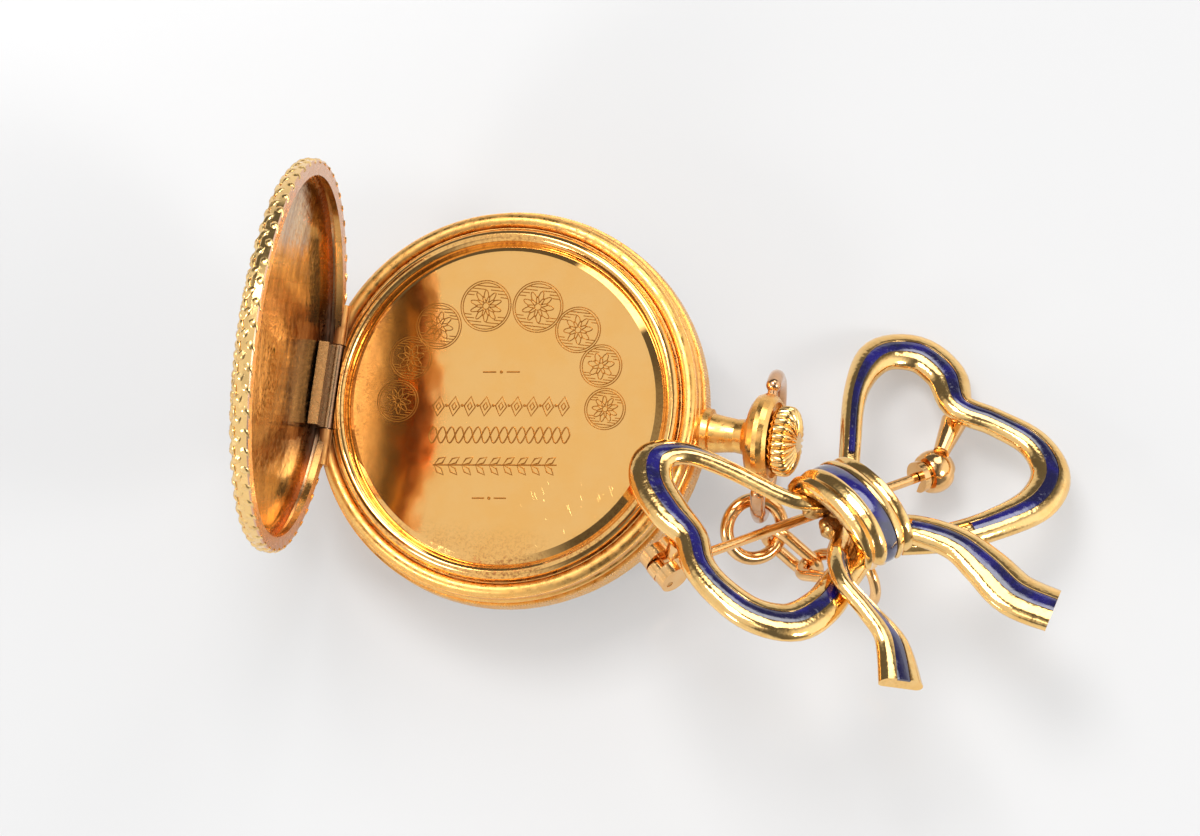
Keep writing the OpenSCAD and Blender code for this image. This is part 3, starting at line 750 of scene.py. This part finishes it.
def leaf_places(pairs):
    """Places of the leaves, row by row from the cover's wall to its panel."""
    places = []
    rows = WALL_ROWS + [(reach, *dome_at(reach)) for reach in DOME_ROWS]
    for row, (reach, height, fall) in enumerate(rows):
        for i in range(pairs):
            turn = 2 * math.pi * (i + 0.5 * row) / pairs
            is_at_hinge = row < len(WALL_ROWS) and math.cos(turn) < -0.95
            if is_at_hinge:
                continue
            places.append(Matrix.Rotation(turn, 4, "Z")
                          @ Matrix.Translation((reach, 0, height - LEAF_SINK))
                          @ Matrix.Rotation(fall, 4, "Y")
                          @ Matrix.Rotation(math.pi / 2 + LEAF_LEAN * (-1) ** row, 4, "Z"))
    return places


def circle_points(x, y, radius, points):
    """Closed ring of points."""
    return [(x + radius * math.cos(2 * math.pi * i / points),
             y + radius * math.sin(2 * math.pi * i / points)) for i in range(points)] + [
                 (x + radius, y)]


def rosette_points(x, y, radius, petals, depth, turn, points):
    """Closed engine-turned rosette."""
    ring = []
    for i in range(points + 1):
        a = 2 * math.pi * i / points
        r = radius * (1 - depth + depth * math.cos(petals * a))
        ring.append((x + r * math.cos(a + turn), y + r * math.sin(a + turn)))
    ring[-1] = ring[0]
    return ring


def medallion_strokes(x, y, radius, petals, turn):
    """Plain engine-turned medallion: two rings, a rosette and fine level lines."""
    strokes = [circle_points(x, y, radius - 0.04, 40), circle_points(x, y, radius - 0.2, 36),
               rosette_points(x, y, radius * 0.62, petals, 0.22, turn, 14 * petals),
               rosette_points(x, y, radius * 0.4, petals, 0.3, turn + math.pi / petals,
                              12 * petals),
               circle_points(x, y, radius * 0.13, 12)]
    field = radius - 0.22
    step = field / 7
    for k in range(-6, 7):
        level = k * step
        half = math.sqrt(max(field * field - level * level, 0))
        inner = math.sqrt(max((radius * 0.64) ** 2 - level * level, 0))
        if abs(k) > 2 and half > inner + 0.12:
            for side in (-1, 1):
                strokes.append([(x + side * inner, y + level), (x + side * half, y + level)])
    return strokes


def between(left, right, share):
    """Point on the line from one point to another."""
    return tuple(a + (b - a) * share for a, b in zip(left, right))


def wave_strokes(left, right, rise, cycles):
    """Two running waves that cross, between two points."""
    strokes = []
    for sign in (-1, 1):
        line = []
        for i in range(cycles * 12 + 1):
            share = i / (cycles * 12)
            x, y = between(left, right, share)
            line.append((x, y + sign * rise * math.sin(math.pi * 2 * cycles * share)))
        strokes.append(line)
    return strokes


def lozenge_strokes(left, right, rise, count):
    """Row of lozenges with a dot between neighbours."""
    strokes = []
    step = (right[0] - left[0]) / count
    for i in range(count):
        x, y = between(left, right, (i + 0.5) / count)
        wide = step * 0.36
        strokes.append([(x - wide, y), (x, y + rise), (x + wide, y), (x, y - rise),
                        (x - wide, y)])
        strokes.append([(x - wide * 0.4, y), (x, y + rise * 0.4), (x + wide * 0.4, y),
                        (x, y - rise * 0.4), (x - wide * 0.4, y)])
        if i:
            strokes.append(circle_points(x - step / 2, y, 0.06, 8))
    return strokes


def leaf_strokes(left, right, rise, count):
    """Plain stem with leaves in pairs."""
    strokes = [[left, right]]
    step = (right[0] - left[0]) / count
    for i in range(count):
        x, y = between(left, right, (i + 0.1) / count)
        for side in (-1, 1):
            tip = (x + step * 0.75, y + side * rise)
            strokes.append([(x, y), (x + step * 0.25, y + side * rise * 0.75), tip,
                            (x + step * 0.55, y + side * rise * 0.3), (x, y)])
    return strokes


def dash_strokes(left, right):
    """Two short dashes with a dot between them."""
    strokes = [[between(left, right, share) for share in ends] for ends in ((0, 0.36), (0.64, 1))]
    return strokes + [circle_points(*between(left, right, 0.5), 0.07, 8)]


# Pieces of the bow
def add_knot():
    """Knot's band, dull on the faces that look to its inside."""
    knot = drawn_out("knot_band", knot_rings(KNOT_SECTION, 0, 360, 64), closed=True)
    settle(knot, BOW, 38)
    dress(knot, "bow_gold")
    knot.data.materials.append(finish_named("dull_gold"))
    middle = BOW @ (Vector(KNOT_AT) * MM)
    way = BOW.to_3x3() @ Vector((1, 0, 0))
    for face in knot.data.polygons:
        out = face.center - middle
        out -= way * out.dot(way)
        if face.normal.dot(out.normalized()) < -0.35:
            face.material_index = 1
    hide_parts("bow_frame")


def add_eye():
    """Eye behind the knot that holds the chain."""
    clear_selection()
    bpy.ops.mesh.primitive_torus_add(major_radius=EYE_R, minor_radius=EYE_WIRE_R,
                                     major_segments=40, minor_segments=16)
    eye = name_new("chain_eye")
    eye.matrix_world = (Matrix.Translation(EYE_AT)
                        @ Matrix.Rotation(math.radians(EYE_TURN), 4, "Z")
                        @ Matrix.Rotation(math.radians(90), 4, "Y"))
    settle(eye, BOW, 60)
    dress(eye, "dull_gold")
    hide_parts("bow_frame")


def add_solder():
    """Uneven lumps of solder inside the knot."""
    lump_texture = bpy.data.textures.new("lumps", "CLOUDS")
    lump_texture.noise_scale = 0.7
    for number, (x, y, z, wide, deep, high) in enumerate(SOLDER):
        clear_selection()
        bpy.ops.mesh.primitive_ico_sphere_add(subdivisions=5, radius=1, location=(x, y, z),
                                              scale=(wide, deep, high))
        lump = name_new("knot_solder_%d" % (number + 1))
        bpy.ops.object.transform_apply(location=True, rotation=True, scale=True)
        uneven = lump.modifiers.new("Uneven", "DISPLACE")
        uneven.texture = lump_texture
        uneven.strength = 0.35
        bpy.ops.object.modifier_apply(modifier=uneven.name)
        settle(lump, BOW, 60)
        dress(lump, "dull_gold")
        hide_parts("bow_frame")


# Stage
def add_floor():
    """Pale lit floor with a faint gloss, just under the lowest rib of the milling."""
    clear_selection()
    bpy.ops.mesh.primitive_plane_add(size=6, location=(0, 0, FLOOR_Z))
    floor = name_new("stage_floor")
    material, _, shader = new_finish("pale_floor")
    shader.inputs["Base Color"].default_value = (0.4, 0.4, 0.402, 1)
    shader.inputs["Roughness"].default_value = 0.12
    shader.inputs["Specular IOR Level"].default_value = 0.15
    shader.inputs["Emission Color"].default_value = (1, 1, 1, 1)
    shader.inputs["Emission Strength"].default_value = 0.34
    floor.data.materials.append(material)


def add_world(scene):
    """Soft studio: a dim room, brighter on the right and low on the left, and three panels."""
    world = bpy.data.worlds.new("soft_studio")
    scene.world = world
    world.use_nodes = True
    tree = world.node_tree
    toward = add_node(tree, "TexCoord").outputs["Generated"]
    way = add_node(tree, "SeparateXYZ", {0: toward})
    across, along = way.outputs[0], way.outputs[1]
    right_side = times(tree, graded(tree, across, 0.35, 0.8, 0.0, 1.15),
                       graded(tree, along, -0.45, -0.05, 0.12, 1.0))
    low_left = graded(tree, plus(tree, across, along), -0.5, -1.0, 0.0, 0.75)
    level = plus(tree, plus(tree, right_side, low_left), ROOM_LEVEL)
    for aim, edge, full, power in PANELS:
        seen = add_node(tree, "VectorMath", {0: toward, 1: aim.normalized()},
                        operation="DOT_PRODUCT")
        panel = graded(tree, seen.outputs["Value"], edge, full, 0.0, power)
        level = sums(tree, "MAXIMUM", level, panel)
    back = tree.nodes["Background"]
    tree.links.new(level, back.inputs["Strength"])
    back.inputs["Color"].default_value = (1, 1, 1, 1)


def add_light(name, place, size, power):
    """Square soft light that points just above the origin."""
    bpy.ops.object.light_add(type="AREA", location=place)
    light = name_new(name)
    light.data.size = size
    light.data.energy = power
    aim = Vector((0, 0, 0.01)) - place
    light.rotation_euler = aim.to_track_quat("-Z", "Y").to_euler()


def add_camera():
    """Camera at the photograph's angle, far off with a long lens."""
    toward = CAMERA_TOWARD.normalized()
    up = toward.cross(CAMERA_RIGHT.normalized()).normalized()
    right = up.cross(toward)
    target = (right * CAMERA_AIM[0] + up * CAMERA_AIM[1]) * MM
    turn = Matrix((right, up, toward)).transposed().to_4x4()
    bpy.ops.object.camera_add()
    camera = name_new("camera")
    camera.matrix_world = WATCH @ Matrix.Translation(target + toward * CAMERA_AWAY) @ turn
    camera.data.sensor_width = 36
    camera.data.lens = CAMERA_LENS
    camera.data.clip_start = 0.05
    camera.data.clip_end = 20
    return camera


class WatchFinish(bpy.types.PropertyGroup):
    """Sizes and colours that a user would change."""
    gold: bpy.props.FloatVectorProperty(
        name="Gold", description="Colour of the cover's outside and the bow", subtype="COLOR",
        size=3, min=0, max=1, default=(0.96, 0.63, 0.25))
    inner_gold: bpy.props.FloatVectorProperty(
        name="Inner gold", description="Colour of the dust cover", subtype="COLOR", size=3,
        min=0, max=1, default=(0.97, 0.56, 0.19))
    pink_gold: bpy.props.FloatVectorProperty(
        name="Pink gold", description="Colour of the cover's worn flange",
        subtype="COLOR", size=3, min=0, max=1, default=(0.78, 0.47, 0.3))
    enamel: bpy.props.FloatVectorProperty(
        name="Enamel", description="Colour of the enamelled stripe", subtype="COLOR", size=3,
        min=0, max=1, default=(0.009, 0.005, 0.15))
    milling_ribs: bpy.props.IntProperty(
        name="Milled ribs", description="Ribs round the case's edge", default=420, min=200,
        max=500)
    rib_length: bpy.props.FloatProperty(
        name="Rib length", description="Length of a rib along the case's edge", default=0.0015,
        min=0.0008, max=0.0018, unit="LENGTH")
    leaf_pairs: bpy.props.IntProperty(
        name="Leaf pairs", description="Pairs of leaves round the open cover", default=56,
        min=20, max=80)
    leaf_length: bpy.props.FloatProperty(
        name="Leaf length", description="Length of a chased leaf", default=0.0015, min=0.001,
        max=0.003, unit="LENGTH")
    line_width: bpy.props.FloatProperty(
        name="Line width", description="Width of the engraved lines", default=0.00007,
        min=0.00004, max=0.0002, unit="LENGTH")
    ribbon_steps: bpy.props.IntProperty(
        name="Ribbon steps", description="Rings between two places of the ribbon's table",
        default=6, min=3, max=10)
    crown_lobes: bpy.props.IntProperty(
        name="Crown lobes", description="Rounded lobes round the crown", default=24, min=16,
        max=28)


class WATCH_OT_case(bpy.types.Operator):
    """Finishes the case and models the milling round its edge"""
    bl_idname = "watch.case"
    bl_label = "Case and milled edge"

    def execute(self, context):
        values = context.scene.watch_finish
        finish_nodes("case_gold", "case_middle", "front_bezel")
        finish_nodes("hinge_gold", "hinge_pin")
        clear_selection()
        bpy.ops.mesh.primitive_cylinder_add(vertices=8, radius=RIB_R,
                                            depth=values.rib_length / MM)
        rib = name_new("rib")
        bpy.ops.object.mode_set(mode="EDIT")
        mesh = bmesh.from_edit_mesh(rib.data)
        for edge in mesh.edges:
            edge.select = abs(edge.verts[0].co.z - edge.verts[1].co.z) < 0.001
        bmesh.update_edit_mesh(rib.data)
        bpy.ops.mesh.bevel(offset=RIB_BEVEL, segments=1)
        bpy.ops.object.mode_set(mode="OBJECT")
        places = [Matrix.Rotation(2 * math.pi * i / values.milling_ribs, 4, "Z")
                  @ Matrix.Translation((MILLING_R, 0, 0)) for i in range(values.milling_ribs)]
        milling = copies_joined("case_milling", rib, places)
        settle(milling, WATCH)
        dress(milling, "case_gold")
        return {"FINISHED"}


class WATCH_OT_dust_cover(bpy.types.Operator):
    """Finishes the dust cover and models its engraved medallions and lines"""
    bl_idname = "watch.dust_cover"
    bl_label = "Dust cover and engraving"

    def execute(self, context):
        values = context.scene.watch_finish
        finish_nodes("dust_cover_gold", "dust_cover")
        strokes = []
        for number, (x, y, radius, petals) in enumerate(MEDALLIONS):
            strokes += medallion_strokes(x, y, radius, petals, 0.35 * number)
        width = values.line_width / MM
        rosettes = engraved("engraved_medallions", strokes, width, FINE_LINE_H)
        strokes = lozenge_strokes(*LOZENGES) + wave_strokes(*WAVES) + leaf_strokes(*LEAF_STEM)
        for left, right in DASHES:
            strokes += dash_strokes(left, right)
        rows = engraved("engraved_rows", strokes, width * ROW_BOLDNESS, ROW_LINE_H)
        for piece in (rosettes, rows):
            settle(piece, WATCH @ Matrix.Translation((0, 0, DUST_COVER_Z * MM)), 60)
            dress(piece, "engraved_gold")
        return {"FINISHED"}


class WATCH_OT_back_cover(bpy.types.Operator):
    """Finishes the open cover and models the chased leaves on its outside"""
    bl_idname = "watch.back_cover"
    bl_label = "Back cover and leaves"

    def execute(self, context):
        values = context.scene.watch_finish
        finish_nodes("back_cover_gold", "back_cover")
        finish_nodes("panel_enamel", "cover_enamel")
        leaves = copies_joined("cover_leaves", leaf_model(values.leaf_length / MM),
                               leaf_places(values.leaf_pairs))
        settle(leaves, OPEN, 50)
        dress(leaves, "leaf_gold", "back_cover")
        clear_selection()
        bpy.ops.mesh.primitive_ico_sphere_add(subdivisions=2, radius=BEAD_R)
        bead = name_new("bead")
        height = dome_at(BEAD_REACH)[0]
        beads = [Matrix.Rotation(2 * math.pi * i / BEAD_COUNT, 4, "Z")
                 @ Matrix.Translation((BEAD_REACH, 0, height)) for i in range(BEAD_COUNT)]
        ring = copies_joined("cover_beads", bead, beads)
        settle(ring, OPEN, 60)
        dress(ring, "leaf_gold", "back_cover")
        return {"FINISHED"}


class WATCH_OT_front(bpy.types.Operator):
    """Finishes the crystal, the dial, the hands and the movement"""
    bl_idname = "watch.front"
    bl_label = "Front and movement"

    def execute(self, context):
        finish_nodes("clear_crystal", "crystal")
        finish_nodes("dial_white", "dial")
        finish_nodes("blued_steel", "hour_hand", "minute_hand")
        finish_nodes("movement_metal", "movement")
        return {"FINISHED"}


class WATCH_OT_crown(bpy.types.Operator):
    """Models the crown with its rounded lobes"""
    bl_idname = "watch.crown"
    bl_label = "Crown"

    def execute(self, context):
        lobes = context.scene.watch_finish.crown_lobes
        points = lobes * POINTS_A_LOBE
        rings = lathe_rings(CROWN_STEM, points)
        rings += lathe_rings(CROWN_BUTTON, points, lobes, depth=0.085, drop=0.22)
        rings += lathe_rings(CROWN_CAP, points)
        crown = drawn_out("crown_lobed", rings)
        settle(crown, WATCH @ Matrix.Rotation(math.radians(90), 4, "Y"), 50)
        dress(crown, "bow_gold", "crown")
        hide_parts("crown")
        return {"FINISHED"}


class WATCH_OT_chain(bpy.types.Operator):
    """Finishes the bail and the chain"""
    bl_idname = "watch.chain"
    bl_label = "Bail and chain"

    def execute(self, context):
        finish_nodes("bail_gold", "bail")
        finish_nodes("chain_gold", "link_1", "link_2", "link_3", "link_4")
        return {"FINISHED"}


class WATCH_OT_bow(bpy.types.Operator):
    """Models the ribbons, the knot and the chain's eye of the bow"""
    bl_idname = "watch.bow"
    bl_label = "Bow of ribbon"

    def execute(self, context):
        steps = context.scene.watch_finish.ribbon_steps
        ribbons = {"left_loop_ribbon": LEFT_LOOP, "right_loop_ribbon": RIGHT_LOOP,
                   "left_tail_ribbon": LEFT_TAIL, "right_tail_ribbon": RIGHT_TAIL}
        for name, rows in ribbons.items():
            ribbon = drawn_out(name, ribbon_rings(rows, RIBBON_SECTION, steps))
            settle(ribbon, BOW, 38)
            dress(ribbon, "bow_gold")
            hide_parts("bow_frame")
        add_knot()
        add_eye()
        add_solder()
        return {"FINISHED"}


class WATCH_OT_enamel(bpy.types.Operator):
    """Models the enamel in the ribbon's channel"""
    bl_idname = "watch.enamel"
    bl_label = "Bow enamel"

    def execute(self, context):
        steps = context.scene.watch_finish.ribbon_steps
        for name, (rows, start, end) in STRIPES.items():
            rings = ribbon_rings(rows, ENAMEL_SECTION, steps, start, end)
            stripe = drawn_out(name + "_stripe", rings)
            settle(stripe, BOW, 38)
            dress(stripe, "bow_enamel")
            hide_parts(name + "_enamel")
        band = drawn_out("knot_stripe", knot_rings(KNOT_ENAMEL, -20, 200, 48))
        settle(band, BOW, 38)
        dress(band, "bow_enamel")
        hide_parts("knot_enamel")
        return {"FINISHED"}


class WATCH_OT_pin(bpy.types.Operator):
    """Finishes the brooch's pin, its hinge and its catch"""
    bl_idname = "watch.pin"
    bl_label = "Brooch pin"

    def execute(self, context):
        finish_nodes("chain_gold", "pin_hinge", "pin_stem", "catch_housing", "catch_roller")
        finish_nodes("dull_gold", "pin_rivet")
        return {"FINISHED"}


class WATCH_OT_stage(bpy.types.Operator):
    """Sets the pale floor, the soft lights and the camera"""
    bl_idname = "watch.stage"
    bl_label = "Stage"

    def execute(self, context):
        add_floor()
        add_world(context.scene)
        context.scene.view_settings.view_transform = "Standard"
        for name, place, size, power in LIGHTS:
            add_light(name, Vector(place), size, power)
        context.scene.camera = add_camera()
        return {"FINISHED"}


STEPS = (WATCH_OT_stage, WATCH_OT_case, WATCH_OT_dust_cover, WATCH_OT_back_cover,
         WATCH_OT_front, WATCH_OT_crown, WATCH_OT_chain, WATCH_OT_bow, WATCH_OT_enamel,
         WATCH_OT_pin)


class WATCH_PT_panel(bpy.types.Panel):
    """Lists the steps and what a user may change"""
    bl_label = "Watch on a bow brooch"
    bl_idname = "WATCH_PT_panel"
    bl_space_type = "VIEW_3D"
    bl_region_type = "UI"
    bl_category = "Watch"

    def draw(self, context):
        values = context.scene.watch_finish
        for name in WatchFinish.__annotations__:
            self.layout.prop(values, name)
        for step in STEPS:
            self.layout.operator(step.bl_idname)


CLASSES = (WatchFinish,) + STEPS + (WATCH_PT_panel,)


def register():
    for made in CLASSES:
        bpy.utils.register_class(made)
    bpy.types.Scene.watch_finish = bpy.props.PointerProperty(type=WatchFinish)


def unregister():
    del bpy.types.Scene.watch_finish
    for made in reversed(CLASSES):
        bpy.utils.unregister_class(made)


def main():
    """Runs every step in order."""
    for name in ("Cube", "Light", "Camera"):
        if name in bpy.data.objects:
            bpy.data.objects.remove(bpy.data.objects[name])
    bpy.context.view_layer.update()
    register()
    for step in STEPS:
        group, name = step.bl_idname.split(".")
        getattr(getattr(bpy.ops, group), name)()


if __name__ == "__main__":
    main()
